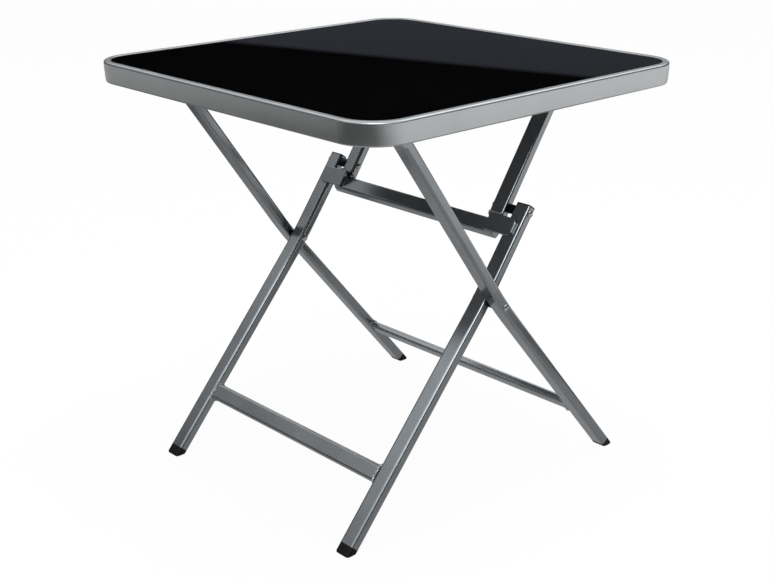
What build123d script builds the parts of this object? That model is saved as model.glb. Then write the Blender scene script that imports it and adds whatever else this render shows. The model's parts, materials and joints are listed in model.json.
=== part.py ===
from build123d import *
import os
from math import cos, radians, sin, sqrt, tan

os.makedirs("parts", exist_ok=True)

# Folding table with a glass top. Millimetres, +Z up, origin on the floor under the middle of the top.
# X runs along the hinge axes. The short legs stand at the front (-Y), the long legs at the rear (+Y).

# Table top
table_width = 700.0
table_depth = 700.0
table_height = 707.5
rim_height = 35.0
rim_corner_radius = 67.0
rim_tuck = 1.5
rim_bulge_height = 16.0
rim_bulge_inset = 0.5
rim_box_width = 15.0
rim_wall = 1.4
rim_top_round = 3.5
rim_foot_round = 3.0
lip_width = 11.6
lip_round = 1.2
ledge_width = 12.0
glass_recess = 0.8
glass_thickness = 5.0
glass_edge_gap = 0.5
glass_edge_chamfer = 0.6
seal_thickness = 1.0
seal_width = 8.0

# Hinge rails under the glass, with their pads
rail_depth = 25.0
rail_height = 20.0
rail_wall = 1.3
rail_corner = 2.5
pad_radius = 9.0
pads_per_rail = 3
pad_step_share = 0.27

# Flat-oval leg tube, and the slimmer tube of the rear foot rail
tube_width = 30.0
tube_depth = 17.5
tube_corner = 5.0
tube_wall = 1.2
slim_width = 24.0
slim_depth = 14.5
slim_corner = 4.5

# Side view of the frames: pivots and feet as (Y, Z) places
front_hinge_y = -224.4
rear_hinge_y = 216.1
hinge_drop = 19.7
scissor_y = -2.4
scissor_z = 347.1
knee_y = 91.4
knee_z = 475.6
long_foot_y = 292.2
short_foot_y = -304.6
leg_bend_radius = 900.0

# Lanes of the tubes across the table, from the rim inwards
leg_inset = 64.5
scissor_gap = 7.5
knee_gap = 17.1

# Tube ends, rails and crossbar
long_tube_rise = 16.0
short_tube_rise = 13.4
foot_round = 2.5
foot_rail_rise = 133.0
knee_end = 10.6
hinge_end = 10.0
plug_flange = 2.2
plug_round = 1.0
plug_length = 16.0
pivot_plug_length = 5.5
plug_clearance = 0.15
crossbar_drop = 39.2
crossbar_tilt = 23.0
crossbar_inset = 4.6
strut_front_drop = 12.0
strut_mitre = 45.0

# Stop plates at the knees, bent back along their inner edges
plate_height = 31.0
plate_thickness = 4.0
plate_corner = 8.0
plate_drop = 17.0
plate_margin = 10.0
plate_inset = 9.6
plate_edge = 0.8

# Hinge brackets
bracket_sheet = 2.5
bracket_depth = 24.0
bracket_side_gap = 0.6

# Rivets and spacers
rivet_radius = 4.0
rivet_clearance = 0.05
rivet_head_radius = 6.2
rivet_head_height = 3.2
rivet_head_crown = 2.6
spacer_radius = 8.0
moving_gap = 0.3

# Length by which cuts run past a face
overrun = 5.0

# Heights and places worked out from the sizes above
rim_bottom = table_height - rim_height
glass_top = table_height - glass_recess
glass_bottom = glass_top - glass_thickness
ledge_top = glass_bottom - seal_thickness
ledge_bottom = ledge_top - rim_wall
rail_bottom = ledge_bottom - rail_height
hinge_z = rail_bottom - hinge_drop
glass_inset = lip_width + glass_edge_gap
rivet_shoulder = rivet_head_height - rivet_head_crown
rivet_dome_radius = (rivet_head_radius**2 + rivet_head_crown**2) / (2 * rivet_head_crown)
rivet_dome_fall = rivet_dome_radius - sqrt(rivet_dome_radius**2 - (rivet_head_radius / 2) ** 2)

long_leg_x = table_width / 2 - leg_inset - tube_width / 2
short_leg_x = long_leg_x - tube_width - scissor_gap
strut_x = short_leg_x - tube_width - knee_gap

SIDES = (("left", -1), ("right", 1))


def side_point(y, z):
    """A place in the side view, in the plane X = 0."""
    return Vector(0, y, z)


front_hinge = side_point(front_hinge_y, hinge_z)
rear_hinge = side_point(rear_hinge_y, hinge_z)
scissor = side_point(scissor_y, scissor_z)
knee = side_point(knee_y, knee_z)
long_foot = side_point(long_foot_y, 0)
short_foot = side_point(short_foot_y, 0)

long_top_way = (front_hinge - scissor).normalized()
long_foot_way = (long_foot - scissor).normalized()
short_top_way = (knee - scissor).normalized()
short_foot_way = (short_foot - scissor).normalized()
strut_way = (rear_hinge - knee).normalized()
strut_front = Vector(0, -strut_way.Z, strut_way.Y)

# The knee stands a little past straight, so the short leg leans on the stop plate towards its lower edge.
# The plate clears the short leg's front face by the moving gap. The crossbar lies back under the struts,
# and its lower edge meets the plate.
knee_lean = radians(strut_way.get_signed_angle(short_top_way, Vector(1, 0, 0)))
plate_foot_drop = plate_drop + plate_height
short_face_top = tube_depth / 2 / cos(knee_lean) - plate_drop * tan(knee_lean)
short_face_foot = tube_depth / 2 / cos(knee_lean) - plate_foot_drop * tan(knee_lean)
plate_back = max(short_face_top, short_face_foot, tube_depth / 2) + moving_gap
bar_lean = radians(crossbar_tilt)
bar_way = strut_way * cos(bar_lean) - strut_front * sin(bar_lean)
bar_wide_reach = (tube_width / 2 - tube_corner) * sin(bar_lean)
bar_deep_reach = (tube_depth / 2 - tube_corner) * cos(bar_lean)
bar_reach = bar_wide_reach + bar_deep_reach + tube_corner
crossbar_half = strut_x + tube_width / 2 - crossbar_inset


def beside_knee(ahead, drop):
    """A place in the side view, by its distances ahead of the strut's axis and below the knee."""
    return knee + strut_front * ahead - strut_way * drop


crossbar_centre = beside_knee(plate_back - bar_reach, crossbar_drop)
mitre_lean = radians(strut_mitre)
mitre_way = strut_way * cos(mitre_lean) - strut_front * sin(mitre_lean)
mitre_run = mitre_way.cross(Vector(1, 0, 0))
mitre_start = beside_knee(tube_depth / 2, strut_front_drop)


def at_side(point, x):
    """The side-view place moved across the table to X."""
    return Vector(x, point.Y, point.Z)


def lane(x):
    """Plane square to X with its own X along the table's Y and its own Y upwards."""
    return Plane(origin=(x, 0, 0), x_dir=(0, 1, 0), z_dir=(1, 0, 0))


def across(point, way):
    """Plane square to the tube at a point, with its own X across the table."""
    return Plane(origin=point, x_dir=(1, 0, 0), z_dir=way)


def outline(width, depth, corner, trim=0, mode=Mode.ADD):
    """Sketch of a tube's outline, smaller by the trim all round."""
    RectangleRounded(width - 2 * trim, depth - 2 * trim, corner - trim, mode=mode)


def tube_ring(width, depth, corner):
    """Sketch of a hollow tube's section."""
    outline(width, depth, corner)
    outline(width, depth, corner, tube_wall, Mode.SUBTRACT)


def drill(point, x, radius):
    """Cuts a hole along X through the tube whose middle is at X."""
    with BuildSketch(lane(x - tube_width / 2 - overrun)) as hole:
        with Locations((point.Y, point.Z)):
            Circle(radius)
    extrude(hole.sketch, amount=tube_width + 2 * overrun, mode=Mode.SUBTRACT)


def seat_on_crossbar(x):
    """Cuts the crossbar's outline out of a piece whose middle is at X, so that it sits on the bar."""
    start = at_side(crossbar_centre, x - tube_width / 2 - overrun)
    with BuildSketch(Plane(origin=start, x_dir=bar_way, z_dir=(1, 0, 0))) as bar:
        outline(tube_width, tube_depth, tube_corner)
    extrude(bar.sketch, amount=tube_width + 2 * overrun, mode=Mode.SUBTRACT)


def keep(solid, name):
    """Labels a finished piece and writes its file."""
    solid.part.label = name
    export_step(solid.part, f"parts/{name}.step")


def write_plug(name, face, spigot_length):
    """Push-in plug: a rounded flange over the tube's end face and a spigot inside the tube."""
    with BuildPart() as plug:
        with BuildSketch(face):
            outline(tube_width, tube_depth, tube_corner)
        extrude(amount=plug_flange)
        fillet(plug.faces().sort_by(Axis(face.origin, face.z_dir))[-1].edges(), plug_round)
        with BuildSketch(face):
            outline(tube_width, tube_depth, tube_corner, tube_wall + plug_clearance)
        extrude(amount=-spigot_length)
    keep(plug, name)


def turn_rivet(point, start, finish, tail_head):
    """Rivet along X: a shank, a domed head past its finish and, where asked, one before its start."""
    way = 1 if finish > start else -1
    heads = [(finish, way)]
    if tail_head:
        heads.append((start, -way))
    with BuildSketch(Plane(origin=point, x_dir=(1, 0, 0), z_dir=(0, 0, 1))) as half:
        with Locations(((start + finish) / 2, rivet_radius / 2)):
            Rectangle(abs(finish - start), rivet_radius)
        for seat, rise in heads:
            shoulder = (seat + rise * rivet_shoulder, rivet_head_radius)
            slope = (seat + rise * (rivet_head_height - rivet_dome_fall), rivet_head_radius / 2)
            crown = (seat + rise * rivet_head_height, 0)
            with BuildLine():
                Polyline(crown, (seat, 0), (seat, rivet_head_radius), shoulder)
                ThreePointArc(shoulder, slope, crown)
            make_face()
    revolve(half.sketch, axis=Axis(point, (1, 0, 0)))


# The rim: a hollow section with a lip round the glass and a ledge under it, led round the four corners.
with BuildSketch(Plane.XY.offset(rim_bottom)) as rim_outline:
    RectangleRounded(table_width, table_depth, rim_corner_radius)
rim_path = rim_outline.sketch.wire()

with BuildPart() as top_rim:
    rim_start = rim_path @ 0
    rim_way = rim_path % 0
    outward = rim_way.cross(Vector(0, 0, 1))
    if outward.dot(rim_start) < 0:
        outward = outward * -1
    with BuildSketch(Plane(origin=rim_start, x_dir=outward, z_dir=outward.cross(Vector(0, 0, 1)))):
        with BuildLine():
            ledge_y = ledge_top - rim_bottom
            ledge_x = -lip_width - ledge_width
            ThreePointArc(
                (-rim_tuck, rim_foot_round),
                (-rim_bulge_inset, rim_bulge_height),
                (0, rim_height - rim_top_round),
            )
            RadiusArc((0, rim_height - rim_top_round), (-rim_top_round, rim_height), -rim_top_round)
            Line((-rim_top_round, rim_height), (-lip_width + lip_round, rim_height))
            RadiusArc((-lip_width + lip_round, rim_height), (-lip_width, rim_height - lip_round), -lip_round)
            Line((-lip_width, rim_height - lip_round), (-lip_width, ledge_y))
            Line((-lip_width, ledge_y), (ledge_x, ledge_y))
            Line((ledge_x, ledge_y), (ledge_x, ledge_y - rim_wall))
            Line((ledge_x, ledge_y - rim_wall), (-rim_box_width, ledge_y - rim_wall))
            Line((-rim_box_width, ledge_y - rim_wall), (-rim_box_width, rim_foot_round))
            RadiusArc((-rim_box_width, rim_foot_round), (-rim_box_width + rim_foot_round, 0), -rim_foot_round)
            Line((-rim_box_width + rim_foot_round, 0), (-rim_tuck - rim_foot_round, 0))
            RadiusArc((-rim_tuck - rim_foot_round, 0), (-rim_tuck, rim_foot_round), -rim_foot_round)
        make_face()
        with BuildLine():
            Polyline(
                (-rim_tuck - rim_wall, rim_foot_round),
                (-rim_bulge_inset - rim_wall, rim_bulge_height),
                (-rim_wall, rim_height - rim_top_round),
                (-rim_top_round, rim_height - rim_wall),
                (-lip_width + rim_wall, rim_height - rim_wall),
                (-lip_width + rim_wall, ledge_y - rim_wall),
                (-rim_box_width + rim_wall, ledge_y - 2 * rim_wall),
                (-rim_box_width + rim_wall, rim_foot_round),
                (-rim_box_width + rim_foot_round, rim_wall),
                (-rim_tuck - rim_foot_round, rim_wall),
                close=True,
            )
        make_face(mode=Mode.SUBTRACT)
    sweep(path=rim_path)
keep(top_rim, "top_rim")

# The glass: one black pane with a small bevel round its edges.
with BuildPart() as glass_panel:
    with BuildSketch(Plane.XY.offset(glass_bottom)):
        RectangleRounded(
            table_width - 2 * glass_inset, table_depth - 2 * glass_inset, rim_corner_radius - glass_inset
        )
    extrude(amount=glass_thickness)
    chamfer(glass_panel.faces().sort_by(Axis.Z)[-1].edges(), glass_edge_chamfer)
keep(glass_panel, "glass_panel")

# The seal: a flat strip on the ledge that the glass rests on.
with BuildPart() as glass_seal:
    with BuildSketch(Plane.XY.offset(ledge_top)):
        RectangleRounded(
            table_width - 2 * glass_inset, table_depth - 2 * glass_inset, rim_corner_radius - glass_inset
        )
        offset(amount=-seal_width, mode=Mode.SUBTRACT)
    extrude(amount=seal_thickness)
keep(glass_seal, "glass_seal")

# The hinge rails: box tubes from rim to rim, right under the ledge.
RAILS = (("front", front_hinge_y), ("rear", rear_hinge_y))
rail_length = table_width - 2 * rim_box_width
for end, rail_y in RAILS:
    with BuildPart() as hinge_rail:
        with BuildSketch(lane(-rail_length / 2)):
            with Locations((rail_y, rail_bottom + rail_height / 2)):
                RectangleRounded(rail_depth, rail_height, rail_corner)
                RectangleRounded(
                    rail_depth - 2 * rail_wall,
                    rail_height - 2 * rail_wall,
                    rail_corner - rail_wall,
                    mode=Mode.SUBTRACT,
                )
        extrude(amount=rail_length)
    keep(hinge_rail, f"{end}_hinge_rail")

# The pads: soft discs on the rails that carry the middle of the glass.
with BuildPart() as glass_pads:
    for end, rail_y in RAILS:
        with BuildSketch(Plane.XY.offset(ledge_bottom)):
            with Locations((0, rail_y)):
                with GridLocations(pad_step_share * rail_length, 0, pads_per_rail, 1):
                    Circle(pad_radius)
        extrude(amount=glass_bottom - ledge_bottom)
keep(glass_pads, "glass_pads")

# The hinge brackets: bent channels under the rails, one over the top of each leg and strut.
bracket_gap = tube_width + 2 * bracket_side_gap
bracket_width = bracket_gap + 2 * bracket_sheet
HINGES = (("front", front_hinge, long_leg_x), ("rear", rear_hinge, strut_x))
for end, hinge, hinge_x in HINGES:
    for side, sign in SIDES:
        with BuildPart() as bracket:
            with BuildSketch(lane(sign * hinge_x - bracket_width / 2)):
                with Locations((hinge.Y, (hinge.Z + rail_bottom) / 2)):
                    Rectangle(bracket_depth, rail_bottom - hinge.Z)
                with Locations((hinge.Y, hinge.Z)):
                    Circle(bracket_depth / 2)
            extrude(amount=bracket_width)
            with BuildSketch(lane(sign * hinge_x - bracket_gap / 2)):
                with Locations((hinge.Y, rail_bottom - bracket_sheet)):
                    Rectangle(
                        bracket_depth + 2 * overrun,
                        rail_bottom - hinge.Z + bracket_depth,
                        align=(Align.CENTER, Align.MAX),
                    )
            extrude(amount=bracket_gap, mode=Mode.SUBTRACT)
            drill(hinge, sign * hinge_x, rivet_radius + rivet_clearance)
        keep(bracket, f"{end}_hinge_bracket_{side}")

# The hinge rivets: a shank through both walls of the bracket and the tube, with a domed head at each end.
with BuildPart() as hinge_rivets:
    for end, hinge, hinge_x in HINGES:
        for side, sign in SIDES:
            bracket_inner = sign * (hinge_x - bracket_width / 2)
            bracket_outer = sign * (hinge_x + bracket_width / 2)
            turn_rivet(hinge, bracket_inner, bracket_outer, tail_head=True)
keep(hinge_rivets, "hinge_rivets")

# The legs: flat-oval tubes with one gentle bend at the scissor pivot.
LEGS = (
    ("long", long_leg_x, front_hinge, long_top_way, hinge_end, long_foot, long_foot_way, long_tube_rise),
    ("short", short_leg_x, knee, short_top_way, knee_end, short_foot, short_foot_way, short_tube_rise),
)
for leg_name, leg_x, top_pivot, top_way, top_end, foot, foot_way, tube_rise in LEGS:
    for side, sign in SIDES:
        leg_top = at_side(top_pivot + top_way * top_end, sign * leg_x)
        leg_foot = at_side(foot - foot_way * tube_rise, sign * leg_x)
        with BuildPart() as leg:
            with BuildLine() as leg_axis:
                FilletPolyline(leg_top, at_side(scissor, sign * leg_x), leg_foot, radius=leg_bend_radius)
            with BuildSketch(across(leg_top, leg_axis.line % 0)):
                tube_ring(tube_width, tube_depth, tube_corner)
            sweep()
            drill(top_pivot, sign * leg_x, rivet_radius + rivet_clearance)
            drill(scissor, sign * leg_x, rivet_radius + rivet_clearance)
        keep(leg, f"{leg_name}_leg_{side}")

        write_plug(f"{leg_name}_leg_plug_{side}", across(leg_top, top_way), pivot_plug_length)

        # The foot cap continues the tube to the floor, where it is cut level.
        with BuildPart() as foot_cap:
            with BuildSketch(across(leg_foot, foot_way)):
                outline(tube_width, tube_depth, tube_corner)
            extrude(amount=tube_rise + tube_depth)
            split(bisect_by=Plane.XY, keep=Keep.TOP)
            fillet(foot_cap.faces().sort_by(Axis.Z)[0].edges(), foot_round)
            with BuildSketch(across(leg_foot, foot_way)):
                outline(tube_width, tube_depth, tube_corner, tube_wall + plug_clearance)
            extrude(amount=-plug_length)
        keep(foot_cap, f"{leg_name}_leg_foot_{side}")

# The foot rails: one tube between the long legs and one between the short legs.
FOOT_RAILS = (
    ("long", long_leg_x, long_foot, long_foot_way, slim_width, slim_depth, slim_corner),
    ("short", short_leg_x, short_foot, short_foot_way, tube_width, tube_depth, tube_corner),
)
for leg_name, leg_x, foot, foot_way, rail_wide, rail_deep, rail_round in FOOT_RAILS:
    rail_half = leg_x - tube_width / 2
    rail_start = at_side(foot - foot_way * foot_rail_rise, -rail_half)
    with BuildPart() as foot_rail:
        with BuildSketch(Plane(origin=rail_start, x_dir=foot_way, z_dir=(1, 0, 0))):
            tube_ring(rail_wide, rail_deep, rail_round)
        extrude(amount=2 * rail_half)
    keep(foot_rail, f"{leg_name}_leg_rail")

# The knee crossbar: a tube that lies back under both struts, with a cap in each end.
bar_start = at_side(crossbar_centre, -crossbar_half)
with BuildPart() as crossbar:
    with BuildSketch(Plane(origin=bar_start, x_dir=bar_way, z_dir=(1, 0, 0))):
        tube_ring(tube_width, tube_depth, tube_corner)
    extrude(amount=2 * crossbar_half)
keep(crossbar, "knee_crossbar")

for side, sign in SIDES:
    bar_end = at_side(crossbar_centre, sign * crossbar_half)
    bar_face = Plane(origin=bar_end, x_dir=bar_way, z_dir=(sign, 0, 0))
    write_plug(f"crossbar_plug_{side}", bar_face, plug_length)

    # The strut: a straight tube from the crossbar up to the rear hinge, its foot mitred to sit on the bar.
    strut_top = at_side(rear_hinge + strut_way * hinge_end, sign * strut_x)
    strut_foot = at_side(knee - strut_way * crossbar_drop, sign * strut_x)
    with BuildPart() as strut:
        with BuildSketch(across(strut_foot, strut_way)):
            tube_ring(tube_width, tube_depth, tube_corner)
        extrude(amount=(strut_top - strut_foot).length)
        split(bisect_by=Plane(origin=mitre_start, x_dir=(1, 0, 0), z_dir=mitre_way), keep=Keep.TOP)
        seat_on_crossbar(sign * strut_x)
        drill(rear_hinge, sign * strut_x, rivet_radius + rivet_clearance)
        drill(knee, sign * strut_x, rivet_radius + rivet_clearance)
    keep(strut, f"upper_strut_{side}")
    write_plug(f"upper_strut_plug_{side}", across(strut_top, strut_way), pivot_plug_length)

    # The stop plate: it laps over the front of the short leg, and its bent side is welded to the crossbar.
    plate_outer = short_leg_x + tube_width / 2 - plate_margin
    plate_inner = strut_x - tube_width / 2 + plate_inset
    plate_middle = beside_knee(plate_back, plate_drop + plate_height / 2)
    plate_face = Plane(
        origin=at_side(plate_middle, sign * (plate_inner + plate_outer) / 2),
        x_dir=(sign, 0, 0),
        z_dir=strut_front,
    )
    side_corners = (
        beside_knee(plate_back, plate_drop),
        beside_knee(plate_back, plate_foot_drop),
        crossbar_centre,
        mitre_start + mitre_run * tube_width / 2,
        mitre_start,
    )
    with BuildPart() as stop_plate:
        with BuildSketch(plate_face) as plate_outline:
            Rectangle(plate_outer - plate_inner, plate_height)
            fillet(plate_outline.vertices().sort_by(Axis.X)[-2:], plate_corner)
        extrude(amount=plate_thickness)
        chamfer(stop_plate.faces().sort_by(Axis(knee, strut_front))[-1].edges(), plate_edge)
        with BuildSketch(lane(sign * plate_inner)):
            with BuildLine():
                Polyline([(corner.Y, corner.Z) for corner in side_corners], close=True)
            make_face()
        extrude(amount=sign * plate_thickness)
        seat_on_crossbar(sign * strut_x)
    keep(stop_plate, f"stop_plate_{side}")

    # The knee rivet: it turns with the strut and runs through the short leg.
    knee_inner = strut_x - tube_width / 2
    knee_outer = short_leg_x + tube_width / 2 + moving_gap
    with BuildPart() as knee_rivet:
        turn_rivet(knee, sign * knee_inner, sign * knee_outer, tail_head=True)
    keep(knee_rivet, f"knee_rivet_{side}")

    # The knee spacer: a sleeve on the rivet that keeps the short leg beside the strut.
    with BuildPart() as knee_spacer:
        with BuildSketch(Plane(origin=at_side(knee, sign * (strut_x + tube_width / 2)), z_dir=(sign, 0, 0))):
            Circle(spacer_radius)
            Circle(rivet_radius + rivet_clearance, mode=Mode.SUBTRACT)
        extrude(amount=knee_gap - moving_gap)
    keep(knee_spacer, f"knee_spacer_{side}")

    # The scissor rivet: its head and shank turn with the long leg and its tail with the short leg.
    scissor_face = short_leg_x + tube_width / 2
    scissor_seat = scissor_face + moving_gap
    with BuildPart() as scissor_rivet:
        turn_rivet(scissor, sign * scissor_seat, sign * (long_leg_x + tube_width / 2), tail_head=False)
    keep(scissor_rivet, f"scissor_rivet_{side}")

    with BuildPart() as scissor_spacer:
        with BuildSketch(Plane(origin=at_side(scissor, sign * scissor_seat), z_dir=(sign, 0, 0))):
            Circle(spacer_radius)
            Circle(rivet_radius + rivet_clearance, mode=Mode.SUBTRACT)
        extrude(amount=scissor_gap - moving_gap)
    keep(scissor_spacer, f"scissor_spacer_{side}")

    with BuildPart() as scissor_tail:
        turn_rivet(scissor, sign * scissor_face, sign * (short_leg_x - tube_width / 2), tail_head=False)
    keep(scissor_tail, f"scissor_tail_{side}")
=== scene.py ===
import json
import math
import random

import bmesh
import bpy
from mathutils import Matrix, Vector


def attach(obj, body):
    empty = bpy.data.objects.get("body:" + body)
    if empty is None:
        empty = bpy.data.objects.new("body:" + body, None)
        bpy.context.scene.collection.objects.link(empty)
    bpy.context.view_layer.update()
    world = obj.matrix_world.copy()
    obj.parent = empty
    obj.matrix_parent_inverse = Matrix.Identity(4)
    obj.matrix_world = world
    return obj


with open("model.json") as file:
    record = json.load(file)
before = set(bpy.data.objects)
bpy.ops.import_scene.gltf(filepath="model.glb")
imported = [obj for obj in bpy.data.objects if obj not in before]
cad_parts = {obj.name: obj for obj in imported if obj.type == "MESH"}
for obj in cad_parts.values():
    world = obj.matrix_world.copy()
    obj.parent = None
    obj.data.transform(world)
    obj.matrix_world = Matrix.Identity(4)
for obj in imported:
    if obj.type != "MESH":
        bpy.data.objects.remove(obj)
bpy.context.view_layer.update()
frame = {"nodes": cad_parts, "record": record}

# Folding table with a black glass top. Metres, +Z up, origin on the floor under the middle of the top.
NODES = frame["nodes"]
SIDES = (("left", -1), ("right", 1))

# Places in the side view, from the frame's joints and the model's own sizes
front_hinge = Vector((0, -0.2244, 0.6596))
rear_hinge = Vector((0, 0.2161, 0.6596))
scissor = Vector((0, -0.0024, 0.3471))
knee = Vector((0, 0.0914, 0.4756))
long_foot = Vector((0, 0.2922, 0))
short_foot = Vector((0, -0.3046, 0))
long_foot_way = (long_foot - scissor).normalized()
short_foot_way = (short_foot - scissor).normalized()
strut_way = (rear_hinge - knee).normalized()
strut_front = Vector((0, -strut_way.z, strut_way.y))
across = Vector((1, 0, 0))
up = Vector((0, 0, 1))

# Width, depth and corner radius of the tubes
tube = (0.030, 0.0175, 0.005)
slim_tube = (0.024, 0.0145, 0.0045)

# Places across the table, as distances from its middle
long_leg_x = 0.2705
short_leg_face = 0.218
long_leg_face = 0.2555
strut_x = 0.1859
strut_inner = 0.1709
strut_outer = 0.2009
plate_inner = 0.1805
bar_end = 0.1985
bracket_half_width = 0.0181
rail_end = 0.3346

# Hinge rails and foot rails
rail_bottom = 0.6793
rail_half_depth = 0.0125
foot_rail_rise = 0.133


# ---- Materials

# Most values of a noise texture lie between these two.
NOISE_LOW = 0.3
NOISE_HIGH = 0.7


def new_material(name):
    """A new material, its node tree and its Principled shader."""
    material = bpy.data.materials.new(name)
    material.use_nodes = True
    tree = material.node_tree
    return material, tree, tree.nodes["Principled BSDF"]


def add_noise(tree, scale, detail=3.0, roughness=0.5):
    """Noise in the object's own space; the scale is in cells per metre."""
    coords = tree.nodes.new("ShaderNodeTexCoord")
    noise = tree.nodes.new("ShaderNodeTexNoise")
    noise.inputs["Scale"].default_value = scale
    noise.inputs["Detail"].default_value = detail
    noise.inputs["Roughness"].default_value = roughness
    tree.links.new(coords.outputs["Object"], noise.inputs["Vector"])
    return noise.outputs["Fac"]


def add_ramp(tree, source, low, high, start=0.35, end=0.65):
    """Colour ramp from low to high over a stretch of the source."""
    ramp = tree.nodes.new("ShaderNodeValToRGB")
    ramp.color_ramp.elements[0].position = start
    ramp.color_ramp.elements[0].color = (*low, 1)
    ramp.color_ramp.elements[1].position = end
    ramp.color_ramp.elements[1].color = (*high, 1)
    tree.links.new(source, ramp.inputs["Fac"])
    return ramp.outputs["Color"]


def add_range(tree, source, low, high):
    """Number from low to high that follows a noise."""
    span = tree.nodes.new("ShaderNodeMapRange")
    span.inputs["From Min"].default_value = NOISE_LOW
    span.inputs["From Max"].default_value = NOISE_HIGH
    span.inputs["To Min"].default_value = low
    span.inputs["To Max"].default_value = high
    tree.links.new(source, span.inputs["Value"])
    return span.outputs["Result"]


def add_bump(tree, shader, source, strength, depth):
    """Bump from a height; the depth is in metres."""
    bump = tree.nodes.new("ShaderNodeBump")
    bump.inputs["Strength"].default_value = strength
    bump.inputs["Distance"].default_value = depth
    tree.links.new(source, bump.inputs["Height"])
    tree.links.new(bump.outputs["Normal"], shader.inputs["Normal"])


def add_mix(tree, kind, share, first, second):
    """Mix of two colours (kind RGBA) or numbers (kind FLOAT), by the share of the second."""
    mix = tree.nodes.new("ShaderNodeMix")
    mix.data_type = kind
    tree.links.new(share, mix.inputs["Factor"])
    tree.links.new(first, mix.inputs["A"])
    tree.links.new(second, mix.inputs["B"])
    return mix.outputs["Result"]


def powder_coat(name, low, high, metallic, roughness):
    """Satin metallic powder coat: cloudy tone, fine flake and a faint orange peel."""
    material, tree, shader = new_material(name)
    cloud = add_noise(tree, scale=14.0, detail=4.0)
    flake = add_noise(tree, scale=2600.0, detail=2.0, roughness=0.7)
    blend = tree.nodes.new("ShaderNodeMix")
    blend.data_type = "RGBA"
    blend.blend_type = "OVERLAY"
    blend.inputs["Factor"].default_value = 0.04
    tree.links.new(add_ramp(tree, cloud, low, high), blend.inputs["A"])
    tree.links.new(add_ramp(tree, flake, (0.3, 0.3, 0.3), (0.7, 0.7, 0.7)), blend.inputs["B"])
    tree.links.new(blend.outputs["Result"], shader.inputs["Base Color"])
    sheen = add_range(tree, cloud, roughness - 0.03, roughness + 0.03)
    tree.links.new(sheen, shader.inputs["Roughness"])
    shader.inputs["Metallic"].default_value = metallic
    peel = add_noise(tree, scale=520.0, detail=2.0)
    add_bump(tree, shader, peel, strength=0.012, depth=0.0001)
    return material


def black_glass():
    """Black gloss glass with a trace of dust; its underside is a dull charcoal paint."""
    material, tree, shader = new_material("black_glass_top")
    dust = add_noise(tree, scale=60.0, detail=6.0, roughness=0.7)
    facing = tree.nodes.new("ShaderNodeSeparateXYZ")
    geometry = tree.nodes.new("ShaderNodeNewGeometry")
    tree.links.new(geometry.outputs["True Normal"], facing.inputs["Vector"])
    below = tree.nodes.new("ShaderNodeMath")
    below.operation = "LESS_THAN"
    below.inputs[1].default_value = -0.5
    tree.links.new(facing.outputs["Z"], below.inputs[0])
    underside = below.outputs["Value"]

    sheet = add_ramp(tree, dust, (0.0012, 0.0012, 0.0014), (0.0022, 0.0022, 0.0025))
    paint = add_ramp(tree, dust, (0.13, 0.133, 0.138), (0.16, 0.163, 0.168))
    tree.links.new(add_mix(tree, "RGBA", underside, sheet, paint), shader.inputs["Base Color"])
    gloss = add_range(tree, dust, 0.004, 0.014)
    dull = add_range(tree, dust, 0.45, 0.6)
    tree.links.new(add_mix(tree, "FLOAT", underside, gloss, dull), shader.inputs["Roughness"])
    shader.inputs["IOR"].default_value = 1.5
    return material


def dull_black(name, tone, roughness, grain, depth):
    """Moulded plastic or rubber: near black, with a fine grain."""
    material, tree, shader = new_material(name)
    cloud = add_noise(tree, scale=90.0, detail=4.0)
    low = tuple(0.75 * value for value in tone)
    high = tuple(1.3 * value for value in tone)
    tree.links.new(add_ramp(tree, cloud, low, high), shader.inputs["Base Color"])
    sheen = add_range(tree, cloud, roughness - 0.06, roughness + 0.06)
    tree.links.new(sheen, shader.inputs["Roughness"])
    shader.inputs["Specular IOR Level"].default_value = 0.2
    pores = add_noise(tree, scale=grain, detail=3.0, roughness=0.6)
    add_bump(tree, shader, pores, strength=0.35, depth=depth)
    return material


def bright_steel(name, low, high, roughness):
    """Bare or zinc-bright steel, with fine turning marks."""
    material, tree, shader = new_material(name)
    cloud = add_noise(tree, scale=260.0, detail=4.0)
    tree.links.new(add_ramp(tree, cloud, low, high), shader.inputs["Base Color"])
    shader.inputs["Metallic"].default_value = 1.0
    sheen = add_range(tree, cloud, roughness - 0.05, roughness + 0.08)
    tree.links.new(sheen, shader.inputs["Roughness"])
    marks = add_noise(tree, scale=1800.0, detail=2.0)
    add_bump(tree, shader, marks, strength=0.2, depth=0.00004)
    return material


def weld_metal():
    """Painted weld: the frame's coat, with bright specks on the crests of its bumps that are painted glints.
    """
    material, tree, shader = new_material("painted_weld")
    crests_and_glints = add_noise(tree, scale=420.0, detail=3.0, roughness=0.6)
    # Light base colour where the bumps crest: painted glints.
    tone = add_ramp(tree, crests_and_glints, (0.25, 0.26, 0.27), (0.80, 0.81, 0.82), start=0.42, end=0.60)
    tree.links.new(tone, shader.inputs["Base Color"])
    shader.inputs["Metallic"].default_value = 0.5
    tree.links.new(add_range(tree, crests_and_glints, 0.34, 0.18), shader.inputs["Roughness"])
    add_bump(tree, shader, crests_and_glints, strength=0.5, depth=0.0003)
    return material


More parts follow.
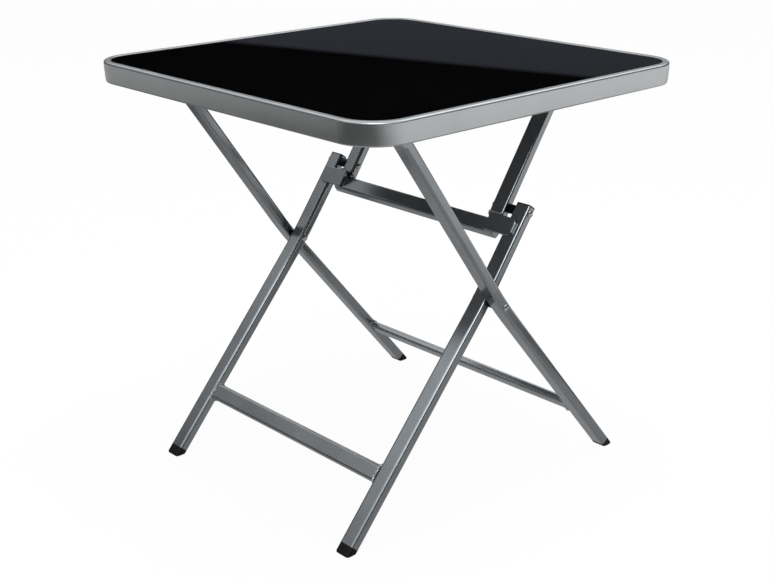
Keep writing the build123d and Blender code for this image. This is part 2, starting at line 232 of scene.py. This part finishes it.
weld_coat = weld_metal()
SLOT_MATERIALS = {
    "rim_coat": powder_coat(
        "silver_powder_coat",
        low=(0.46, 0.478, 0.484), high=(0.51, 0.529, 0.535), metallic=0.9, roughness=0.31,
    ),
    "frame_coat": powder_coat(
        "grey_powder_coat",
        low=(0.260, 0.278, 0.290), high=(0.304, 0.325, 0.339), metallic=0.8, roughness=0.19,
    ),
    "black_glass": black_glass(),
    "black_rubber": dull_black(
        "black_rubber_trim", tone=(0.006, 0.006, 0.006), roughness=0.75, grain=900.0, depth=0.0002
    ),
    "black_plastic": dull_black(
        "black_moulded_plastic", tone=(0.004, 0.004, 0.0045), roughness=0.5, grain=1500.0, depth=0.00012
    ),
    "bright_steel": bright_steel(
        "bright_steel_rivet", low=(0.42, 0.425, 0.43), high=(0.56, 0.565, 0.57), roughness=0.22
    ),
}
for entry in frame["record"]["subparts"]:
    node = NODES[entry["node"]]
    node.data.materials.clear()
    node.data.materials.append(SLOT_MATERIALS[entry["material_slot"]])


# ---- Weld beads

# Corners in a bead's ring, then shares of the bead's radius
BEAD_SIDES = 10
BEAD_PITCH = 0.22
RIPPLE_LENGTH = 1.15
SIZE_SPREAD = 0.22
VALLEY_SIZE = 0.74
CREST_RISE = 0.34
WANDER = 0.18
# An open bead narrows to its ends, by the root of a share that stays above this.
SMALLEST_END = 0.02
# Above this share of its way across the table, a bead takes its rings from +Z instead.
LEVEL_RUN = 0.9

# Radii of the two kinds of bead, how far one stands out from the tube, and how deep it sinks in the leg
weld = 0.0021
fine_weld = 0.0017
stand_out = 0.0004
sink = 0.0006


def outline_points(centre, wide_way, deep_way, sizes, corner_steps=6):
    """Points round a rounded rectangle that stands out a little from the tube's own outline."""
    width, depth, corner = sizes
    half_width = width / 2 + stand_out
    half_depth = depth / 2 + stand_out
    radius = corner + stand_out
    points = []
    for quarter, (sign_w, sign_d) in enumerate(((1, 1), (-1, 1), (-1, -1), (1, -1))):
        for step in range(corner_steps + 1):
            angle = math.pi / 2 * (quarter + step / corner_steps)
            along = sign_w * (half_width - radius) + radius * math.cos(angle)
            aside = sign_d * (half_depth - radius) + radius * math.sin(angle)
            points.append(centre + wide_way * along + deep_way * aside)
    return points


def resample(points, closed, pitch):
    """Evenly spaced points along a run of straight stretches."""
    loop = points + [points[0]] if closed else points
    lengths = [0.0]
    for before, after in zip(loop, loop[1:]):
        lengths.append(lengths[-1] + (after - before).length)
    count = max(2, round(lengths[-1] / pitch))
    result = []
    span = 0
    for index in range(count if closed else count + 1):
        target = lengths[-1] * index / count
        while span < len(loop) - 2 and lengths[span + 1] < target:
            span += 1
        stretch = lengths[span + 1] - lengths[span]
        share = (target - lengths[span]) / stretch if stretch else 0
        result.append(loop[span].lerp(loop[span + 1], min(1, share)))
    return result


def bead_rings(mesh, spine, closed, radius, seed):
    """Rings of corners round the spine: rippled, and a little uneven in size and place."""
    dice = random.Random(seed)
    count = len(spine)
    pitch = radius * BEAD_PITCH
    ripples = max(3, round(count * pitch / (radius * RIPPLE_LENGTH)))
    wobble = [dice.uniform(-1, 1) for _ in range(ripples + 1)]
    rings = []
    for index, point in enumerate(spine):
        before = spine[(index - 1) % count] if closed else spine[max(0, index - 1)]
        after = spine[(index + 1) % count] if closed else spine[min(count - 1, index + 1)]
        way = (after - before).normalized()
        side = way.cross(across if abs(way.dot(across)) < LEVEL_RUN else up).normalized()
        rise = way.cross(side)
        turn = ripples * index / count
        blob = int(turn) % ripples
        hump = VALLEY_SIZE + CREST_RISE * math.sqrt(abs(math.sin(math.pi * turn)))
        size = radius * (1 + SIZE_SPREAD * wobble[blob]) * hump
        if not closed:
            reach = min(index, count - 1 - index) * pitch / radius
            size *= math.sqrt(max(SMALLEST_END, min(1.0, reach)))
        sideways = side * radius * WANDER * wobble[(blob + 3) % ripples]
        shift = sideways + rise * radius * WANDER * wobble[blob]
        ring = []
        for corner in range(BEAD_SIDES):
            angle = 2 * math.pi * corner / BEAD_SIDES
            aside = side * size * math.cos(angle)
            above = rise * size * math.sin(angle)
            ring.append(mesh.verts.new(point + shift + aside + above))
        rings.append(ring)
    return rings


def bead(name, points, closed, radius, body, seed):
    """Weld bead along the points, on the body that it is welded to."""
    mesh = bmesh.new()
    rings = bead_rings(mesh, resample(points, closed, radius * BEAD_PITCH), closed, radius, seed)
    pairs = list(zip(rings, rings[1:]))
    if closed:
        pairs.append((rings[-1], rings[0]))
    for ring, following in pairs:
        for corner in range(BEAD_SIDES):
            after = (corner + 1) % BEAD_SIDES
            mesh.faces.new((ring[corner], ring[after], following[after], following[corner]))
    if not closed:
        mesh.faces.new(list(reversed(rings[0])))
        mesh.faces.new(rings[-1])
    bmesh.ops.recalc_face_normals(mesh, faces=mesh.faces)
    data = bpy.data.meshes.new(name)
    mesh.to_mesh(data)
    mesh.free()
    data.polygons.foreach_set("use_smooth", [True] * len(data.polygons))
    data.materials.append(weld_coat)
    piece = bpy.data.objects.new(name, data)
    bpy.context.scene.collection.objects.link(piece)
    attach(piece, body)


def at(point, x):
    """The side-view place moved across the table to X."""
    return Vector((x, point.y, point.z))


def beside_knee(ahead, drop):
    """A place in the side view, by its distances ahead of the strut's axis and below the knee."""
    return knee + strut_front * ahead - strut_way * drop


# Seams of the strut's foot and the stop plate. Each place has three distances: ahead of the strut's axis,
# below the knee and across the table.
strut_front_seam = (
    (0.0102, 0.0148, strut_inner + 0.002),
    (0.0102, 0.0148, strut_outer - 0.001),
)
strut_back_seam = (
    (0.0070, 0.0142, strut_inner + 0.0004),
    (-0.0018, 0.0234, strut_inner + 0.0004),
    (-0.0078, 0.0258, strut_inner + 0.001),
    (-0.0090, 0.0262, strut_inner + 0.006),
    (-0.0090, 0.0262, strut_outer - 0.006),
    (-0.0078, 0.0258, strut_outer - 0.001),
    (-0.0018, 0.0234, strut_outer - 0.0004),
)
plate_side_seam = (
    (0.0012, 0.0262, plate_inner),
    (0.0092, 0.0450, plate_inner),
)
plate_foot_seam = (
    (0.0098, 0.0482, plate_inner + 0.001),
    (0.0098, 0.0482, bar_end - 0.002),
)
KNEE_SEAMS = (
    ("strut_front_weld", strut_front_seam, weld, 31),
    ("strut_back_weld", strut_back_seam, fine_weld, 35),
    ("plate_side_weld", plate_side_seam, weld, 41),
    ("plate_foot_weld", plate_foot_seam, fine_weld, 51),
)
FOOT_RAILS = (
    ("short_rail_weld", short_foot, short_foot_way, short_leg_face, tube, "short_leg_frame", 11),
    ("long_rail_weld", long_foot, long_foot_way, long_leg_face, slim_tube, "long_leg_frame", 21),
)
HINGES = (("front", front_hinge, long_leg_x, 60), ("rear", rear_hinge, strut_x, 70))
RAIL_SEED_STEP = 20
bracket_seam_reach = 0.011
rail_seam_start = 0.002
rail_seam_end = 0.018

for side, sign in SIDES:
    # Foot rails to the legs
    for name, foot, foot_way, leg_face, sizes, body, seed in FOOT_RAILS:
        centre = at(foot - foot_way * foot_rail_rise, sign * (leg_face - sink))
        ring = outline_points(centre, foot_way, across.cross(foot_way), sizes)
        bead(f"{name}_{side}", ring, True, weld, body, seed + sign)

    # The strut's foot and the stop plate to the crossbar
    for name, seam, radius, seed in KNEE_SEAMS:
        run = [at(beside_knee(ahead, drop), sign * x) for ahead, drop, x in seam]
        bead(f"{name}_{side}", run, False, radius, "strut_frame", seed + sign)

    # Brackets to the hinge rails, and the rails to the rim
    for end, hinge, hinge_x, seed in HINGES:
        for face in (-1, 1):
            wall = sign * hinge_x + face * bracket_half_width
            reaches = (-bracket_seam_reach, bracket_seam_reach)
            run = [Vector((wall, hinge.y + reach, rail_bottom)) for reach in reaches]
            tag = "outer" if face * sign > 0 else "inner"
            draw = seed + 2 * sign + face
            bead(f"{end}_bracket_weld_{tag}_{side}", run, False, fine_weld, "table_top", draw)
        for face in (-1, 1):
            edge = hinge.y + face * rail_half_depth
            rises = (rail_seam_start, rail_seam_end)
            run = [Vector((sign * rail_end, edge, rail_bottom + rise)) for rise in rises]
            tag = "front" if face < 0 else "rear"
            draw = seed + RAIL_SEED_STEP + 2 * sign + face
            bead(f"{end}_rail_weld_{tag}_{side}", run, False, fine_weld, "table_top", draw)


# ---- Camera, as fitted to the photograph

PICTURE_WIDTH = 772
PICTURE_HEIGHT = 579
LENS = 60.106
SENSOR = 36.0
CAMERA_PLACE = (1.56251, -1.45010, 1.08607)
yaw, pitch, roll = (math.radians(value) for value in (47.116, 20.199, -0.212))
forward = Vector((-math.sin(yaw) * math.cos(pitch), math.cos(yaw) * math.cos(pitch), -math.sin(pitch)))
level = Vector((math.cos(yaw), math.sin(yaw), 0))
upright = level.cross(forward)
right = level * math.cos(roll) + upright * math.sin(roll)
top = upright * math.cos(roll) - level * math.sin(roll)
camera_data = bpy.data.cameras.new("camera")
camera_data.sensor_width = SENSOR
camera_data.lens = LENS
camera = bpy.data.objects.new("camera", camera_data)
camera.matrix_world = Matrix((
    (right.x, top.x, -forward.x, CAMERA_PLACE[0]),
    (right.y, top.y, -forward.y, CAMERA_PLACE[1]),
    (right.z, top.z, -forward.z, CAMERA_PLACE[2]),
    (0, 0, 0, 1),
))
bpy.context.scene.collection.objects.link(camera)
bpy.context.scene.camera = camera


# ---- Studio

def smooth_step(tree, value, start, end, low, high):
    """Number that goes smoothly from low to high while the value goes from start to end."""
    span = tree.nodes.new("ShaderNodeMapRange")
    span.interpolation_type = "SMOOTHSTEP"
    span.inputs["From Min"].default_value = start
    span.inputs["From Max"].default_value = end
    span.inputs["To Min"].default_value = low
    span.inputs["To Max"].default_value = high
    tree.links.new(value, span.inputs["Value"])
    return span.outputs["Result"]


def measure(tree, coords, operation, operand):
    """Distance from a place, or reach along a direction, of the coordinates."""
    node = tree.nodes.new("ShaderNodeVectorMath")
    node.operation = operation
    node.inputs[1].default_value = operand
    tree.links.new(coords, node.inputs[0])
    return node.outputs["Value"]


def combine(tree, operation, first, *others):
    """Sum or product of numbers in the node tree."""
    for other in others:
        node = tree.nodes.new("ShaderNodeMath")
        node.operation = operation
        tree.links.new(first, node.inputs[0])
        tree.links.new(other, node.inputs[1])
        first = node.outputs["Value"]
    return first


def choose_shader(tree, share, first, second):
    """Mix of two shaders, by the share of the second: a number, or a link such as a kind of ray."""
    mix = tree.nodes.new("ShaderNodeMixShader")
    if isinstance(share, float):
        mix.inputs["Fac"].default_value = share
    else:
        tree.links.new(share, mix.inputs["Fac"])
    tree.links.new(first, mix.inputs[1])
    tree.links.new(second, mix.inputs[2])
    return mix.outputs["Shader"]


# The floor lies just below the feet.
FLOOR_REACH = 9.0
FLOOR_Z = -0.0005
# Tone of the light that bounces off the floor
BOUNCE_TONE = (0.30, 0.30, 0.30, 1)
# To the camera the floor is this share of white, and the rest takes the table's shadow.
PAPER_SHARE = 0.965
PAPER_TONE = (0.85, 0.85, 0.85, 1)


def painted_floor_light(tree):
    """Painted light and painted shade on the floor where metal or glass mirrors it, by its place: pools of
    light to the right, to the left and near the table, and a painted shade to the right rear of it.
    """
    coords = tree.nodes.new("ShaderNodeTexCoord").outputs["Object"]
    to_right = measure(tree, coords, "DOT_PRODUCT", (0.8, 0.6, 0))
    to_left = measure(tree, coords, "DOT_PRODUCT", (-1, 0, 0))
    from_table = measure(tree, coords, "DISTANCE", (0.4, 0.3, 0))
    from_painted_shade = measure(tree, coords, "DISTANCE", (0.6, 0.85, 0))
    right_light = smooth_step(tree, to_right, start=0.6, end=3.0, low=0.035, high=1.1)
    left_light = smooth_step(tree, to_left, start=0.8, end=3.0, low=0.0, high=0.48)
    near_light = smooth_step(tree, from_table, start=1.0, end=1.9, low=0.44, high=0.0)
    painted_shade = smooth_step(tree, from_painted_shade, start=0.22, end=0.42, low=0.01, high=1.0)
    return combine(tree, "MULTIPLY", combine(tree, "ADD", right_light, left_light, near_light), painted_shade)


def studio_floor():
    """Floor: white to the camera but for the table's faint shadow; where metal mirrors it, it glows with
    painted light and painted shade by place.
    """
    corners = [(x * FLOOR_REACH, y * FLOOR_REACH, 0) for x, y in ((-1, -1), (1, -1), (1, 1), (-1, 1))]
    mesh = bpy.data.meshes.new("studio_floor")
    mesh.from_pydata(corners, [], [(0, 1, 2, 3)])
    floor = bpy.data.objects.new("studio_floor", mesh)
    floor.location.z = FLOOR_Z
    bpy.context.scene.collection.objects.link(floor)

    material, tree, shader = new_material("studio_floor_white")
    shader.inputs["Base Color"].default_value = BOUNCE_TONE
    shader.inputs["Roughness"].default_value = 0.9
    shader.inputs["Specular IOR Level"].default_value = 0.0
    # Where glossy rays see the floor, it glows with painted light and painted shade by place.
    mirrored = tree.nodes.new("ShaderNodeEmission")
    tree.links.new(painted_floor_light(tree), mirrored.inputs["Strength"])
    pale = tree.nodes.new("ShaderNodeBsdfDiffuse")
    pale.inputs["Color"].default_value = PAPER_TONE
    white = tree.nodes.new("ShaderNodeEmission")

    rays = tree.nodes.new("ShaderNodeLightPath").outputs
    unseen = choose_shader(tree, rays["Is Glossy Ray"], shader.outputs["BSDF"], mirrored.outputs["Emission"])
    paper = choose_shader(tree, PAPER_SHARE, pale.outputs["BSDF"], white.outputs["Emission"])
    surface = choose_shader(tree, rays["Is Camera Ray"], unseen, paper)
    tree.links.new(surface, tree.nodes["Material Output"].inputs["Surface"])
    material.cycles.emission_sampling = "NONE"
    mesh.materials.append(material)


def lamp(name, place, target, size, power, mirrored=True):
    """Square soft lamp that faces its target; metal and glass don't show it unless it is mirrored."""
    data = bpy.data.lights.new(name, "AREA")
    data.shape = "SQUARE"
    data.size = size
    data.energy = power
    light = bpy.data.objects.new(name, data)
    light.location = place
    light.rotation_euler = (Vector(target) - Vector(place)).to_track_quat("-Z", "Y").to_euler()
    light.visible_glossy = mirrored
    bpy.context.scene.collection.objects.link(light)


# The pale wall that the glass shows at its far side: its tone, and how soft its edge is
WALL_TONE = (0.055, 0.059, 0.071, 1)
WALL_EDGE = 0.0015
NO_TONE = (0.0, 0.0, 0.0, 1)
SKY_TONE = (0.98, 1.0, 1.02, 1)
BACKDROP_TONE = (0.98, 0.98, 0.98, 1)


def mirrored_way(px, py):
    """Direction in which level glass sends the sight line through a place in the picture."""
    focal = LENS / SENSOR * PICTURE_WIDTH
    way = forward * focal + right * (px - PICTURE_WIDTH / 2) - top * (py - PICTURE_HEIGHT / 2)
    return Vector((way.x, way.y, -way.z)).normalized()


def wall_normal():
    """Upward normal of the plane through the wall's edge, which the glass shows between two places."""
    normal = mirrored_way(592.5, 77).cross(mirrored_way(228, 41.5)).normalized()
    return -normal if normal.z < 0 else normal


def sky_glow(tree, way):
    """Brightness of the mirrored sky, by its direction."""
    height = measure(tree, way, "DOT_PRODUCT", (0, 0, 1))
    to_right = measure(tree, way, "DOT_PRODUCT", (0.85, -0.35, 0.4))
    to_rear = measure(tree, way, "DOT_PRODUCT", (-0.5, 0.87, 0))
    to_far_corner = measure(tree, way, "DOT_PRODUCT", (-0.7, 0.71, 0))
    to_gap = measure(tree, way, "DOT_PRODUCT", (-0.70, -0.04, 0.71))

    rise = smooth_step(tree, height, start=0.35, end=0.62, low=0.0, high=1.0)
    crown = smooth_step(tree, height, start=0.60, end=0.72, low=0.0, high=0.8)
    ceiling = smooth_step(tree, height, start=0.74, end=0.88, low=1.0, high=0.2)
    side_light = smooth_step(tree, to_right, start=-0.6, end=0.8, low=0.88, high=1.05)
    rear_light = smooth_step(tree, to_rear, start=0.25, end=0.6, low=0.0, high=0.5)
    strength = combine(tree, "ADD", side_light, rear_light)
    sky = combine(tree, "MULTIPLY", combine(tree, "ADD", rise, crown), strength, ceiling)

    # A low band beyond the table's far corner lights the flat lip of the rim.
    band_foot = smooth_step(tree, height, start=0.235, end=0.34, low=0.0, high=0.6)
    band_head = smooth_step(tree, height, start=0.42, end=0.60, low=1.0, high=0.0)
    band_side = smooth_step(tree, to_far_corner, start=0.55, end=0.85, low=0.0, high=1.0)
    band = combine(tree, "MULTIPLY", band_foot, band_head, band_side)

    # A dark gap that the left end of the crossbar mirrors
    gap = smooth_step(tree, to_gap, start=0.965, end=0.988, low=1.0, high=0.35)
    return combine(tree, "MULTIPLY", combine(tree, "ADD", sky, band), gap)


def studio_world():
    """White behind the object, soft light from the front left, and a pale sky where metal mirrors it."""
    world = bpy.data.worlds.new("studio")
    bpy.context.scene.world = world
    world.use_nodes = True
    world.cycles.sampling_method = "NONE"
    tree = world.node_tree
    tree.nodes.clear()
    way = tree.nodes.new("ShaderNodeTexCoord").outputs["Generated"]
    backdrop = tree.nodes.new("ShaderNodeBackground")
    backdrop.inputs["Color"].default_value = BACKDROP_TONE

    soft = tree.nodes.new("ShaderNodeBackground")
    to_front = measure(tree, way, "DOT_PRODUCT", (-0.4, -0.7, 0.6))
    soft_light = smooth_step(tree, to_front, start=0.0, end=1.0, low=0.02, high=1.2)
    tree.links.new(soft_light, soft.inputs["Strength"])

    edge = tree.nodes.new("ShaderNodeMapRange")
    edge.inputs["From Min"].default_value = -WALL_EDGE
    edge.inputs["From Max"].default_value = WALL_EDGE
    tree.links.new(measure(tree, way, "DOT_PRODUCT", wall_normal()), edge.inputs["Value"])
    wall = tree.nodes.new("ShaderNodeMix")
    wall.data_type = "RGBA"
    wall.inputs["A"].default_value = WALL_TONE
    wall.inputs["B"].default_value = NO_TONE
    tree.links.new(edge.outputs["Result"], wall.inputs["Factor"])
    mixed = tree.nodes.new("ShaderNodeMix")
    mixed.data_type = "RGBA"
    mixed.clamp_factor = False
    mixed.inputs["B"].default_value = SKY_TONE
    tree.links.new(sky_glow(tree, way), mixed.inputs["Factor"])
    tree.links.new(wall.outputs["Result"], mixed.inputs["A"])
    room = tree.nodes.new("ShaderNodeBackground")
    tree.links.new(mixed.outputs["Result"], room.inputs["Color"])

    rays = tree.nodes.new("ShaderNodeLightPath").outputs
    unseen = choose_shader(
        tree, rays["Is Glossy Ray"], soft.outputs["Background"], room.outputs["Background"]
    )
    surface = choose_shader(tree, rays["Is Camera Ray"], unseen, backdrop.outputs["Background"])
    output = tree.nodes.new("ShaderNodeOutputWorld")
    tree.links.new(surface, output.inputs["Surface"])


studio_world()
studio_floor()
lamp("key_lamp", place=(1.9, -1.5, 2.9), target=(0, 0, 0.4), size=1.8, power=34)
lamp("top_lamp", place=(0.3, 0.4, 4.2), target=(0, 0, 0.4), size=2.0, power=150, mirrored=False)

scene = bpy.context.scene
scene.view_settings.view_transform = "Standard"
